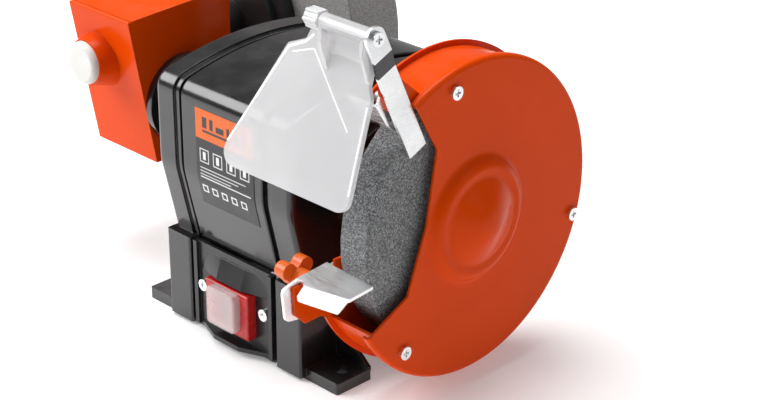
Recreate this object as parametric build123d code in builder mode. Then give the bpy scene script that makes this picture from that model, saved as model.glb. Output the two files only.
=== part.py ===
"""Combination bench grinder: a dry wheel on the motor shaft, a slow wet wheel on a worm gearbox.

Millimetres. The origin is on the bench plane at the centre of the four foot bolts.
+X runs along the motor shaft toward the dry wheel, +Y to the back, +Z up.
"""

import os
from math import atan2, cos, radians, sin, tan

from build123d import *

os.makedirs("parts", exist_ok=True)

# ---------------------------------------------------------------- driving dimensions
AXIS_Z = 103.0              # motor shaft above the bench
RUN_FIT = 0.05              # radial clearance of a running fit
GAP = 0.4                   # radial clearance between curved faces of different bodies
FACE_GAP = 0.2              # clearance between flat faces that slide past each other

# motor casing
CASE_SIDE = 70.0            # half depth of the casing
CASE_TOP = 63.0             # crown of the casing above the shaft
CASE_TOP_R = 220.0          # radius of the crowned top
CASE_SHOULDER_R = 11.0      # top corner radius
CASE_WAIST = 58.6           # half depth where the casing meets the legs
CASE_WAIST_DROP = 50.0      # waist below the shaft
CASE_WALL = 3.0
CASE_BELLY_R = 40.0         # soft turns below the shaft and at the waist
CASE_WAIST_R = 12.0
COVER_HALF = 33.5           # half length of the middle cover
GROOVE = 3.0                # shadow groove between cover and end bells
BELL_END = 56.0             # outer end of each bell
BELL_STEP = 4.0             # width of the lower band beside the groove
BELL_STEP_DROP = 1.3
BELL_ROUND = 3.5
BELL_WALL = 4.0             # end wall of a bell

# legs and feet
LEG_FRONT = 65.5            # half depth over the legs
LEG_DEPTH = 20.0            # how far a leg reaches in from its front face
LEG_TOP = 57.0
LEG_LIFT = 2.0              # leg bottoms above the bench
LEG_IN = 30.5               # inner face of the leg pairs
EAR_END = 82.0              # outer end of the foot ears
EAR_FRONT = 61.0
EAR_BACK = 34.4
EAR_T = 7.0
EAR_RIB_T = 2.6
EAR_RIB_H = 29.0
FOOT_X = 72.0               # foot bolt holes
FOOT_Y = 47.5
FOOT_HOLE = 8.5
PAD_R = 6.0                 # rubber pads under the legs

# switch bay
PANEL_Y = 63.5              # outer face of the front and rear panels
PANEL_T = 2.5
PANEL_BOTTOM = 3.5
HOOD_Z = 41.0
HOOD_OUT = 5.0
HOOD_TIP = 10.4             # half width of the hood's front edge
HOOD_ROOT = 29.0
LIP_Z = 6.3
LIP_OUT = 8.0
SWITCH_W = 36.0
SWITCH_H = 28.0
SWITCH_Z = 26.0
SWITCH_OUT = 6.5
SWITCH_IN = 24.0
SWITCH_SCREW_X = 26.0
SWITCH_SCREW_Z = 30.4
COVER_W = 24.0              # clear switch cover
COVER_H = 24.0
COVER_OUT = 5.5
BUTTON_W = 8.6
BUTTON_H = 16.0
BUTTON_OUT = 2.2
BUTTON_TRAVEL = 1.5

# motor
STATOR_R = 56.0
STATOR_BORE = 33.5
STACK = 50.0
BARREL_T = 2.0
ROTOR_GAP = 0.5
SHAFT_R = 7.5
SHAFT_END_R = 6.35          # half inch arbor
BEARING_R = 17.5
BEARING_W = 11.0
BEARING_IN = 39.0           # inner face of each motor bearing from the middle

# dry wheel and guard
DRY_R = 75.0
DRY_W = 20.0
DRY_X = 109.0               # middle plane of the dry wheel
FLANGE_R = 25.0
PAPER_T = 0.6
GUARD_R = 91.0
BAND_R = 88.0               # outside of the guard's band
BAND_T = 1.5
BACK_X = DRY_X - DRY_W / 2 - 3.9               # wheel side face of the guard's back plate
PLATE_T = 1.5
COVER_X = DRY_X + DRY_W / 2 + 6.9             # outer face of the guard cover
DOME_R = 37.0
DOME_RING = 5.0
DOME_IN_R = 23.2
DOME_H = 13.0
OPEN_TOP = 58.5             # the guard's opening, degrees above the front
OPEN_LOW = -28.4
NECK_R = 37.0               # cast spacer between bell and guard

# eye shield and arm
ARM_X = COVER_X - 4.9               # wheel side face of the arm
ARM_T = 2.0
ARM_W = 12.8
ARM_FOOT = (-41.8, 51.3)    # lower end of the arm, seen from the shaft (y, z)
ARM_LEN = 83.0
ARM_LEAN = 25.0             # degrees from upright, toward the front
ARM_JOG_AT = 54.2
ARM_JOG_LEN = 10.5
ARM_JOG = 2.0               # the upper part steps outward
ARM_BOLT_AT = 33.3
ARM_BOLT_R = 2.5
HINGE_AT = ARM_LEN - 6.2
TUBE_R = 4.4
TUBE_X1 = 122.5
PIN_R = 2.0
SHEET_T = 2.4
SHEET_LEAN = 16.8
SHEET_LEFT = 23.5
SHEET_RIGHT = 123.4

# tool rest
REST_BACK = -77.0
REST_Z = AXIS_Z - 11.0
REST_TILT = 4.6
REST_RIGHT = 128.0
REST_T = 1.8
REST_BOLT_Y = -85.0
REST_BOLT_Z = AXIS_Z - 22.0
REST_BOLT_R = 3.0
WING_X = 74.0

# gearbox and wet wheel
WET_X = -155.0              # wet wheel axis, which runs along Y
CENTRES = 25.0              # worm to wheel centre distance
RATIO = 22
GEAR_R = 17.8
WORM_R = 6.7
BOX_X0 = -177.0
BOX_X1 = -119.0
BOX_BACK = 39.5
BOX_FRONT_TOP = 39.4
BOX_FRONT_LOW = 22.7
BOX_LOW = AXIS_Z - 37.4
BOX_HIGH = AXIS_Z + 58.0
BOX_RISE = 4.0
BOX_WALL = 3.0
OUT_R = 6.0                 # output shaft
BOSS_R = 20.0
BOSS_TIP_R = 14.5
BOSS_OUT = 12.0
WET_R = 100.0
WET_W = 40.0
WET_Y0 = CASE_SIDE + 15.0               # front face of the wet wheel
WET_BORE_R = 10.0
HUB_R = 47.0
HUB_NOSE_R = 40.0
HUB_T = 15.0

# water tray
TRAY_X0 = -263.0
TRAY_X1 = -50.0
TRAY_Y0 = CASE_SIDE + 6.0
TRAY_Y1 = TRAY_Y0 + 60.0
TRAY_LOW = 14.0
TRAY_RIM = 111.0
TRAY_WALL = 2.5

WET_Z = AXIS_Z + CENTRES


def save(piece, name):
    """Label one finished piece and write it as its own STEP file."""
    piece.part.label = name
    export_step(piece.part, f"parts/{name}.step")


def along_x(x):
    """Sketch plane facing +X: its own axes are the model's Y and Z."""
    return Plane.YZ.offset(x)


def along_y(y):
    """Sketch plane facing the front: its own axes are the model's X and Z."""
    return Plane.XZ.offset(-y)


def rod(x0, x1, r, y=0.0, z=AXIS_Z, bore=0.0, mode=Mode.ADD):
    """Round bar or tube along X inside the part being built."""
    with BuildSketch(along_x(x0)) as disc:
        with Locations((y, z)):
            Circle(r)
            if bore:
                Circle(bore, mode=Mode.SUBTRACT)
    extrude(disc.sketch, amount=x1 - x0, mode=mode)


def rod_y(y0, y1, r, x=WET_X, z=WET_Z, bore=0.0, mode=Mode.ADD):
    """Round bar or tube along Y inside the part being built."""
    with BuildSketch(along_y(y1)) as disc:
        with Locations((x, z)):
            Circle(r)
            if bore:
                Circle(bore, mode=Mode.SUBTRACT)
    extrude(disc.sketch, amount=y1 - y0, mode=mode)


def rod_z(z0, z1, r, x, y, bore=0.0, mode=Mode.ADD):
    """Round bar or tube along Z inside the part being built."""
    with BuildSketch(Plane.XY.offset(z0)) as disc:
        with Locations((x, y)):
            Circle(r)
            if bore:
                Circle(bore, mode=Mode.SUBTRACT)
    extrude(disc.sketch, amount=z1 - z0, mode=mode)


def hexagon(plane, at, flats, length, bore=0.0):
    """Hexagonal nut or bolt head standing on a plane."""
    with BuildSketch(plane) as hexa:
        with Locations(at):
            RegularPolygon(flats / 2, 6, major_radius=False)
            if bore:
                Circle(bore, mode=Mode.SUBTRACT)
    extrude(hexa.sketch, amount=length)


def block(x0, x1, y0, y1, z0, z1, mode=Mode.ADD):
    """Plain block between two corners inside the part being built."""
    with Locations(((x0 + x1) / 2, (y0 + y1) / 2, (z0 + z1) / 2)):
        Box(abs(x1 - x0), abs(y1 - y0), abs(z1 - z0), mode=mode)


def polygon(plane, points):
    """Closed flat outline through the points, on a plane."""
    with BuildSketch(plane) as outline:
        with BuildLine():
            Polyline(*points, close=True)
        make_face()
    return outline.sketch


def pan_screw(plane, at, head_r, head_h, shank_r, shank_len):
    """Cross-recess pan-head screw whose head stands on the plane, shank going behind it."""
    with BuildSketch(plane) as head:
        with Locations(at):
            Circle(head_r)
    extrude(head.sketch, amount=head_h)
    with BuildSketch(plane) as shank:
        with Locations(at):
            Circle(shank_r)
    extrude(shank.sketch, amount=-shank_len)
    with BuildSketch(plane.offset(head_h)) as cross:
        with Locations(at):
            Rectangle(head_r * 1.1, head_r * 0.28)
            Rectangle(head_r * 0.28, head_r * 1.1)
    extrude(cross.sketch, amount=-head_h * 0.5, mode=Mode.SUBTRACT)


# ================================================================ motor casing
def case_outline(inset, low):
    """Section of the casing on the YZ plane, drawn in by inset and reaching down to low."""
    side = CASE_SIDE - inset
    waist = CASE_WAIST - inset
    top = AXIS_Z + CASE_TOP - inset
    shoulder = top - side**2 / (2 * CASE_TOP_R)
    waist_z = AXIS_Z - CASE_WAIST_DROP
    right = [(side, shoulder), (side, AXIS_Z), (waist, waist_z), (waist, low)]
    left = [(-y, z) for y, z in reversed(right)]
    with BuildSketch(Plane.YZ) as section:
        with BuildLine():
            ThreePointArc((-side, shoulder), (0, top), (side, shoulder))
            Polyline(*right, *left)
        make_face()
        levels = section.vertices().group_by(Axis.Y)
        fillet(levels[-1], CASE_SHOULDER_R - inset)
        fillet(section.vertices().filter_by_position(Axis.Y, AXIS_Z - 0.1, AXIS_Z + 0.1), CASE_BELLY_R)
        fillet(section.vertices().filter_by_position(Axis.Y, waist_z - 0.1, waist_z + 0.1), CASE_WAIST_R)
    return section.sketch


def at_x(section, x):
    """The same section moved along X."""
    return section.moved(Location((x, 0, 0)))


BELL_LOW = 30.0             # casing section of the bells, lost inside the legs
COVER_LOW = LEG_TOP
BELL_X0 = COVER_HALF + GROOVE
END_WALL_X = BELL_END - BELL_WALL
LEG_END = BELL_END + 1.0
BEARING_OUT = BEARING_IN + BEARING_W
BARREL_R = STATOR_R + BARREL_T
NECK_BOLT_R = 31.0
NECK_BOLTS = [
    (NECK_BOLT_R * cos(radians(a)), AXIS_Z + NECK_BOLT_R * sin(radians(a))) for a in (45, 135, 225, 315)
]


def end_bell():
    """Right end bell: casing end, bearing seat, two legs and two foot ears."""
    leg_mid = LEG_FRONT - LEG_DEPTH / 2
    leg_x = (BELL_X0 + LEG_END) / 2
    with BuildPart() as bell:
        extrude(at_x(case_outline(0, BELL_LOW), BELL_X0 + BELL_STEP), amount=BELL_END - BELL_X0 - BELL_STEP)
        outer_rim = bell.faces().sort_by(Axis.X)[-1].outer_wire().edges().sort_by(Axis.Z)[1:]
        fillet(outer_rim, BELL_ROUND)
        extrude(at_x(case_outline(BELL_STEP_DROP, BELL_LOW), BELL_X0), amount=BELL_STEP)
        extrude(at_x(case_outline(GROOVE, BELL_LOW), COVER_HALF), amount=GROOVE)
        # two legs, and the wall that joins them
        for side in (1, -1):
            with BuildSketch(Plane.XY.offset(LEG_LIFT)):
                with Locations((leg_x, side * leg_mid)):
                    RectangleRounded(LEG_END - BELL_X0, LEG_DEPTH, 1.5)
            extrude(amount=LEG_TOP - LEG_LIFT)
        block(END_WALL_X, BELL_END, LEG_DEPTH - LEG_FRONT, LEG_FRONT - LEG_DEPTH, LEG_LIFT, LEG_TOP)
        # foot ears with their slanted ribs
        for side in (1, -1):
            with BuildSketch(Plane.XY):
                with Locations(((END_WALL_X + EAR_END) / 2, side * (EAR_FRONT + EAR_BACK) / 2)):
                    RectangleRounded(EAR_END - END_WALL_X, EAR_FRONT - EAR_BACK, 1.5)
                with Locations((FOOT_X, side * FOOT_Y)):
                    Circle(FOOT_HOLE / 2, mode=Mode.SUBTRACT)
            extrude(amount=EAR_T)
            rib = [(END_WALL_X, EAR_T - 2), (EAR_END - 0.5, EAR_T - 2), (EAR_END - 0.5, EAR_T + 0.8),
                   (BELL_END, EAR_RIB_H), (END_WALL_X, EAR_RIB_H)]
            rib_plane = along_y(side * (EAR_BACK + EAR_RIB_T / 2))
            extrude(polygon(rib_plane, rib), amount=EAR_RIB_T / 2, both=True)
        # hollow inside, open to the middle and below
        extrude(at_x(case_outline(GROOVE + CASE_WALL, BELL_LOW - 1), COVER_HALF),
                amount=END_WALL_X - COVER_HALF, mode=Mode.SUBTRACT)
        block(BELL_X0 + 2.5, END_WALL_X, 3 - LEG_FRONT, LEG_FRONT - 3, -1, LEG_TOP - 3, mode=Mode.SUBTRACT)
        block(COVER_HALF - 1, END_WALL_X, LEG_DEPTH - LEG_FRONT + 3, LEG_FRONT - LEG_DEPTH - 3, -1,
              LEG_TOP - 3, mode=Mode.SUBTRACT)
        # bearing boss, and the ring that the motor barrel seats in
        rod(BEARING_IN, BELL_END, BEARING_R + 5)
        rod(BEARING_IN, BEARING_OUT, BEARING_R, mode=Mode.SUBTRACT)
        rod(BEARING_OUT, BELL_END, SHAFT_R + 2, mode=Mode.SUBTRACT)
        rod(COVER_HALF, END_WALL_X, BARREL_R + 1.5, bore=BARREL_R - 4)
        rod(COVER_HALF, BELL_X0 + 3, BARREL_R, mode=Mode.SUBTRACT)
        for y, z in NECK_BOLTS:
            rod(BEARING_IN, BELL_END, 2.5, y, z, mode=Mode.SUBTRACT)
    return bell


right_end_bell = end_bell()
save(right_end_bell, "right_end_bell")
with BuildPart() as left_end_bell:
    mirror(right_end_bell.part, about=Plane.YZ)
save(left_end_bell, "left_end_bell")

# middle cover, its legs and the panels between them
with BuildPart() as motor_cover:
    extrude(at_x(case_outline(0, BELL_LOW), -COVER_HALF), amount=2 * COVER_HALF)
    for end in (motor_cover.faces().sort_by(Axis.X)[0], motor_cover.faces().sort_by(Axis.X)[-1]):
        fillet(end.outer_wire().edges().sort_by(Axis.Z)[1:], 1.0)
    extrude(at_x(case_outline(CASE_WALL, BELL_LOW - 1), -COVER_HALF), amount=2 * COVER_HALF,
            mode=Mode.SUBTRACT)
    block(-COVER_HALF, COVER_HALF, -CASE_SIDE, CASE_SIDE, 0, COVER_LOW, mode=Mode.SUBTRACT)
save(motor_cover, "motor_cover")

with BuildPart() as motor_barrel:
    rod(-COVER_HALF, COVER_HALF, BARREL_R, bore=STATOR_R)
    rod(COVER_HALF, BELL_X0 + 3, BARREL_R, bore=STATOR_R)
    rod(-BELL_X0 - 3, -COVER_HALF, BARREL_R, bore=STATOR_R)
save(motor_barrel, "motor_barrel")


def pocket(y0, y1, bolts):
    """Flat panel across the legs with side strips that fill the leg fronts."""
    low, high = min(y0, y1), max(y0, y1)
    block(-COVER_HALF, COVER_HALF, low, high, PANEL_BOTTOM, COVER_LOW)
    for x, z in bolts:
        rod_y(low - 1, high + 1, 1.7, x, z, mode=Mode.SUBTRACT)


SWITCH_BOLTS = [(-SWITCH_SCREW_X, SWITCH_SCREW_Z), (SWITCH_SCREW_X, SWITCH_SCREW_Z)]
with BuildPart() as switch_panel:
    pocket(-PANEL_Y, -PANEL_Y + PANEL_T, SWITCH_BOLTS)
    for side in (1, -1):
        block(side * LEG_IN, side * COVER_HALF, -LEG_FRONT, PANEL_T - PANEL_Y, PANEL_BOTTOM, COVER_LOW)
    # hood above the switch and lip below it
    hood_root = polygon(Plane.XY.offset(HOOD_Z), [
        (-HOOD_ROOT, -PANEL_Y), (-HOOD_TIP, -PANEL_Y - HOOD_OUT), (HOOD_TIP, -PANEL_Y - HOOD_OUT),
        (HOOD_ROOT, -PANEL_Y)])
    hood_top = polygon(Plane.XY.offset(COVER_LOW - 4), [
        (-HOOD_ROOT, -PANEL_Y + 1), (-HOOD_TIP, -PANEL_Y - 0.6), (HOOD_TIP, -PANEL_Y - 0.6),
        (HOOD_ROOT, -PANEL_Y + 1)])
    loft([hood_root.face(), hood_top.face()])
    lip_top = polygon(Plane.XY.offset(LIP_Z), [
        (-LEG_IN, -PANEL_Y), (-HOOD_TIP, -PANEL_Y - LIP_OUT), (HOOD_TIP, -PANEL_Y - LIP_OUT),
        (LEG_IN, -PANEL_Y)])
    extrude(lip_top, amount=PANEL_BOTTOM - LIP_Z)
    block(-SWITCH_W / 2 + 2, SWITCH_W / 2 - 2, -PANEL_Y - 1, PANEL_T - PANEL_Y,
          SWITCH_Z - SWITCH_H / 2 + 2, SWITCH_Z + SWITCH_H / 2 - 2, mode=Mode.SUBTRACT)
save(switch_panel, "switch_panel")

GLAND_X = -14.0
GLAND_Z = 26.0
GLAND_R = 6.0
REAR_BOLTS = [(-24.0, 14.0), (24.0, 14.0), (-24.0, 46.0), (24.0, 46.0)]
with BuildPart() as rear_panel:
    pocket(PANEL_Y - PANEL_T, PANEL_Y, REAR_BOLTS)
    for side in (1, -1):
        block(side * LEG_IN, side * COVER_HALF, PANEL_Y - PANEL_T, LEG_FRONT, PANEL_BOTTOM, COVER_LOW)
    for row in range(5):
        block(4, 26, PANEL_Y - 5, PANEL_Y + 1, 20 + 5 * row, 22 + 5 * row, mode=Mode.SUBTRACT)
    rod_y(PANEL_Y - 5, PANEL_Y + 1, GLAND_R, GLAND_X, GLAND_Z, mode=Mode.SUBTRACT)
save(rear_panel, "rear_panel")

with BuildPart() as cable_gland:
    rod_y(PANEL_Y - 8, PANEL_Y, GLAND_R, GLAND_X, GLAND_Z)
    rod_y(PANEL_Y, PANEL_Y + 3, GLAND_R + 3, GLAND_X, GLAND_Z)
    rod_y(PANEL_Y + 3, PANEL_Y + 9, GLAND_R - 0.5, GLAND_X, GLAND_Z)
    rod_y(PANEL_Y - 9, PANEL_Y + 10, 3.5, GLAND_X, GLAND_Z, mode=Mode.SUBTRACT)
save(cable_gland, "cable_gland")

with BuildPart() as base_plate:
    block(-COVER_HALF, COVER_HALF, -PANEL_Y, PANEL_Y, LEG_LIFT, PANEL_BOTTOM)
    with Locations((0, -30, LEG_LIFT), (0, 0, LEG_LIFT), (0, 30, LEG_LIFT)):
        Box(36, 3, 6, mode=Mode.SUBTRACT)
save(base_plate, "base_plate")

PAD_X = (BELL_X0 + END_WALL_X) / 2 + 0.5
PAD_Y = LEG_FRONT - PAD_R - 3.5
with BuildPart() as rubber_pads:
    for sx in (1, -1):
        for sy in (1, -1):
            rod_z(0, LEG_LIFT, PAD_R, sx * PAD_X, sy * PAD_Y)
            block(sx * (BELL_X0 + 2.5), sx * END_WALL_X, sy * (PAD_Y - 4), sy * (PAD_Y + 5), LEG_LIFT, 11)
save(rubber_pads, "rubber_pads")

# rating label, a thin skin that follows the front of the cover
LABEL_X0 = -21.0
LABEL_X1 = 27.0
LABEL_LOW = 86.0
LABEL_HIGH = 145.0
LABEL_T = 0.3
with BuildPart() as rating_label:
    extrude(at_x(case_outline(-LABEL_T, BELL_LOW), LABEL_X0), amount=LABEL_X1 - LABEL_X0)
    extrude(at_x(case_outline(0, BELL_LOW - 1), LABEL_X0), amount=LABEL_X1 - LABEL_X0, mode=Mode.SUBTRACT)
    with Locations(((LABEL_X0 + LABEL_X1) / 2, -CASE_SIDE, (LABEL_LOW + LABEL_HIGH) / 2)):
        Box(LABEL_X1 - LABEL_X0, 2 * (CASE_SIDE - CASE_WAIST), LABEL_HIGH - LABEL_LOW, mode=Mode.INTERSECT)
save(rating_label, "rating_label")

# ================================================================ switch
SWITCH_FACE = PANEL_Y + SWITCH_OUT
BUTTON_X = 5.6
BUTTON_SLOT = 0.3
with BuildPart() as switch_body:
    block(-SWITCH_W / 2, SWITCH_W / 2, -SWITCH_FACE, -PANEL_Y,
          SWITCH_Z - SWITCH_H / 2, SWITCH_Z + SWITCH_H / 2)
    fillet(switch_body.faces().sort_by(Axis.Y)[0].edges(), 1.0)
    block(-SWITCH_W / 2 + 2, SWITCH_W / 2 - 2, -PANEL_Y, SWITCH_IN - PANEL_Y,
          SWITCH_Z - SWITCH_H / 2 + 2, SWITCH_Z + SWITCH_H / 2 - 2)
    for x in (-BUTTON_X, BUTTON_X):
        block(x - BUTTON_W / 2 - BUTTON_SLOT, x + BUTTON_W / 2 + BUTTON_SLOT, -SWITCH_FACE - 1, -PANEL_Y,
              SWITCH_Z - BUTTON_H / 2 - BUTTON_SLOT, SWITCH_Z + BUTTON_H / 2 + BUTTON_SLOT,
              mode=Mode.SUBTRACT)
save(switch_body, "switch_body")


def push_button(x):
    """One push button of the switch, standing a little proud of its body."""
    with BuildPart() as button:
        block(x - BUTTON_W / 2, x + BUTTON_W / 2, -SWITCH_FACE - BUTTON_OUT, -PANEL_Y - 0.5 - BUTTON_TRAVEL,
              SWITCH_Z - BUTTON_H / 2, SWITCH_Z + BUTTON_H / 2)
        fillet(button.faces().sort_by(Axis.Y)[0].edges(), 0.7)
    return button


stop_button = push_button(-BUTTON_X)
save(stop_button, "stop_button")
start_button = push_button(BUTTON_X)
save(start_button, "start_button")

COVER_SKIN = 0.9


def cover_shell(inset, back):
    """Rounded cushion of the clear switch cover, drawn in by inset and starting at back."""
    front = -SWITCH_FACE - COVER_OUT + inset
    with BuildPart() as cushion:
        block(inset - COVER_W / 2, COVER_W / 2 - inset, front, back,
              SWITCH_Z + 1.5 - COVER_H / 2 + inset, SWITCH_Z + 1.5 + COVER_H / 2 - inset)
        fillet(cushion.edges().filter_by(Axis.Y), 3.0 - inset)
        fillet(cushion.faces().sort_by(Axis.Y)[0].edges(), 1.4 - inset)
    return cushion.part


with BuildPart() as switch_cover:
    add(cover_shell(0, -SWITCH_FACE))
    add(cover_shell(COVER_SKIN, 1 - SWITCH_FACE), mode=Mode.SUBTRACT)
save(switch_cover, "switch_cover")

with BuildPart() as panel_screws:
    for x, z in SWITCH_BOLTS:
        pan_screw(along_y(-PANEL_Y), (x, z), 3.6, 2.2, 1.6, 9)
    for x, z in REAR_BOLTS:
        rear_face = Plane(origin=(0, PANEL_Y, 0), x_dir=(-1, 0, 0), z_dir=(0, 1, 0))
        pan_screw(rear_face, (-x, z), 3.6, 2.2, 1.6, 9)
save(panel_screws, "panel_screws")

# ================================================================ motor inside
SLOTS = 24
with BuildPart() as stator_core:
    rod(-STACK / 2, STACK / 2, STATOR_R, bore=STATOR_BORE)
    with BuildSketch(along_x(-STACK / 2)):
        with Locations((0, AXIS_Z)):
            with PolarLocations(STATOR_BORE + 5.5, SLOTS):
                RectangleRounded(9, 4.4, 1.5)
    extrude(amount=STACK, mode=Mode.SUBTRACT)
save(stator_core, "stator_core")

with BuildPart() as stator_windings:
    for x0 in (STACK / 2, -STACK / 2 - 8):
        rod(x0, x0 + 8, STATOR_R - 8, bore=STATOR_BORE + 1)
    with BuildSketch(along_x(-STACK / 2)):
        with Locations((0, AXIS_Z)):
            with PolarLocations(STATOR_BORE + 5.5, SLOTS):
                RectangleRounded(7, 3.4, 1)
    extrude(amount=STACK)
save(stator_windings, "stator_windings")

with BuildPart() as rotor_core:
    rod(-STACK / 2, STACK / 2, STATOR_BORE - ROTOR_GAP, bore=SHAFT_R + 1.5)
    for x0 in (STACK / 2, -STACK / 2 - 5):
        rod(x0, x0 + 5, STATOR_BORE - ROTOR_GAP - 2, bore=SHAFT_R + 8)
save(rotor_core, "rotor_core")

WORM_X0 = WET_X - 15.0
WORM_X1 = WET_X + 15.0
SHAFT_X0 = BOX_X0 + BOX_WALL
SHAFT_X1 = DRY_X + 25.0
FLANGE_IN_X0 = BACK_X - 0.6
DRY_X0 = DRY_X - DRY_W / 2
DRY_X1 = DRY_X + DRY_W / 2
with BuildPart() as motor_shaft:
    rod(-BEARING_OUT, BEARING_OUT + 34, SHAFT_R)
    rod(-STACK / 2, STACK / 2, SHAFT_R + 1.5)
    rod(BEARING_OUT + 34, SHAFT_X1, SHAFT_END_R)
    rod(SHAFT_X0, -BEARING_OUT, SHAFT_END_R - 1.35)
    chamfer(motor_shaft.faces().sort_by(Axis.X)[-1].edges(), 1.0)
save(motor_shaft, "motor_shaft")


BEARING_LIP = 2.2           # width of a bearing's end faces beside the shield recess
SHIELD_IN = 0.6             # depth of the shield recess


def ball_bearing(name, x0):
    """Shielded ball bearing on the motor shaft, with the recesses of its two shields."""
    x1 = x0 + BEARING_W
    with BuildPart() as bearing:
        rod(x0, x1, BEARING_R, bore=SHAFT_R + RUN_FIT)
        for side in (x0, x1 - SHIELD_IN):
            rod(side, side + SHIELD_IN, BEARING_R - BEARING_LIP, bore=SHAFT_R + BEARING_LIP,
                mode=Mode.SUBTRACT)
    save(bearing, name)


ball_bearing("bearing_right", BEARING_IN)
ball_bearing("bearing_left", -BEARING_OUT)

with BuildPart() as run_capacitor:
    rod(-22, 26, 14, y=34, z=24)
    rod(26, 28.5, 12, y=34, z=24)
    block(-24, 20, 21, 47, PANEL_BOTTOM, 16)
save(run_capacitor, "run_capacitor")

# ================================================================ guard of the dry wheel
def on_rim(radius, angle):
    """Point on a circle round the shaft; angles rise from the front (-Y) toward +Z."""
    return (-radius * cos(radians(angle)), AXIS_Z + radius * sin(radians(angle)))


COVER_START = OPEN_TOP + 1.0
OPENING = [on_rim(GUARD_R + 20, COVER_START), on_rim(58, OPEN_TOP), (-37.4, AXIS_Z + 7.9),
           (-51, AXIS_Z - 28.5), (-77.1, AXIS_Z - 41.7), (-130, AXIS_Z - 41.7 - 27), (-140, AXIS_Z + 60)]
REST_SLOPE = tan(radians(REST_TILT))
EAR_TIP = -104.0
EAR_GAP = 0.7               # under the tool rest's plate


def rest_under(y):
    """Height of the tool rest's underside at a depth y."""
    return REST_Z - REST_T - (REST_BACK - y) * REST_SLOPE


EDGE_Z = REST_Z + 1.6
EDGE_Y = REST_BACK + 2.4
BACK_OPENING = [on_rim(GUARD_R + 20, OPEN_TOP), on_rim(58, OPEN_TOP), (-37.4, AXIS_Z + 7.9),
                (-44, EDGE_Z), (EDGE_Y, EDGE_Z), (EDGE_Y, rest_under(EDGE_Y) - EAR_GAP),
                (EAR_TIP - 6, rest_under(EAR_TIP - 6) - EAR_GAP)]
REST_EAR = [(-60, 50), (-60, 80), (EDGE_Y, rest_under(EDGE_Y) - EAR_GAP),
            (EAR_TIP, rest_under(EAR_TIP) - EAR_GAP), (EAR_TIP + 1, 71), (EAR_TIP + 8, 64), (-85, 64.4)]
NECK_X1 = BACK_X - PLATE_T
with BuildPart() as guard_back_plate:
    rod(NECK_X1, BACK_X, GUARD_R)
    extrude(polygon(along_x(NECK_X1), BACK_OPENING), amount=PLATE_T, mode=Mode.SUBTRACT)
    extrude(polygon(along_x(NECK_X1), REST_EAR), amount=PLATE_T)
    rod(NECK_X1, BACK_X, FLANGE_R - 3, mode=Mode.SUBTRACT)
    rod(NECK_X1, BACK_X, REST_BOLT_R + 0.2, REST_BOLT_Y, REST_BOLT_Z, mode=Mode.SUBTRACT)
    for y, z in NECK_BOLTS:
        rod(NECK_X1, BACK_X, 2.5, y, z, mode=Mode.SUBTRACT)
save(guard_back_plate, "guard_back_plate")

ARM_DIR = (-sin(radians(ARM_LEAN)), cos(radians(ARM_LEAN)))


def arm_point(along):
    """Point on the arm's centre line, measured up from its lower end (y, z)."""
    return (ARM_FOOT[0] + along * ARM_DIR[0], AXIS_Z + ARM_FOOT[1] + along * ARM_DIR[1])


ARM_BOLT = arm_point(ARM_BOLT_AT)
HINGE = arm_point(HINGE_AT)
COVER_IN = COVER_X - PLATE_T
LUG_T = 2.0
LUG_R = 6.0
LUG_TIP_R = 7.0
LUG_X0 = ARM_X - FACE_GAP - LUG_T
BAND_START = OPEN_TOP + 1.2
COVER_SCREWS = [on_rim(80, 76.8), on_rim(84.0, 196.1), on_rim(81, -48)]
with BuildPart() as guard_band:
    rod(BACK_X, COVER_IN, BAND_R, bore=BAND_R - BAND_T)
    wedge = [(0, AXIS_Z), on_rim(200, BAND_START), (-300, AXIS_Z), on_rim(200, OPEN_LOW)]
    extrude(polygon(along_x(BACK_X), wedge), amount=COVER_IN - BACK_X, mode=Mode.SUBTRACT)
    # tabs that take the cover screws
    for y, z in COVER_SCREWS:
        reach = atan2(z - AXIS_Z, -y)
        with BuildSketch(Plane(origin=(COVER_IN - 3, 0, AXIS_Z), x_dir=(0, -cos(reach), sin(reach)),
                               z_dir=(1, 0, 0))):
            with Locations((BAND_R - 6, 0)):
                Rectangle(10, 12)
        extrude(amount=3)
        rod(COVER_IN - 4, COVER_IN + 1, 2.0, y, z, mode=Mode.SUBTRACT)
    # lug that carries the eye shield arm
    with BuildSketch(along_x(LUG_X0)):
        with Locations(ARM_BOLT):
            Circle(LUG_R)
        with Locations(arm_point(ARM_BOLT_AT + 9.5)):
            Circle(LUG_TIP_R)
        with Locations(on_rim(BAND_R - 0.8, BAND_START + 1), on_rim(BAND_R - 0.8, BAND_START + 5)):
            Circle(0.8)
        make_hull()
        with Locations(ARM_BOLT):
            Circle(ARM_BOLT_R + RUN_FIT, mode=Mode.SUBTRACT)
    extrude(amount=LUG_T)
save(guard_band, "guard_band")

SKIRT = 4.5


def cover_profile(drop):
    """Outer line of the pressed cover, as distance along X against radius."""
    top = COVER_X - drop
    return [(top, DOME_R + 1), (top + 0.55 * DOME_RING, DOME_R - 3.2), (top + DOME_RING, DOME_R - 7.5),
            (top + DOME_RING - 0.4, DOME_IN_R + 2.6), (top + DOME_RING + 0.9, DOME_IN_R - 1.2),
            (top + DOME_H - 2.4, DOME_IN_R * 0.5), (top + DOME_H, 0)]


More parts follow.
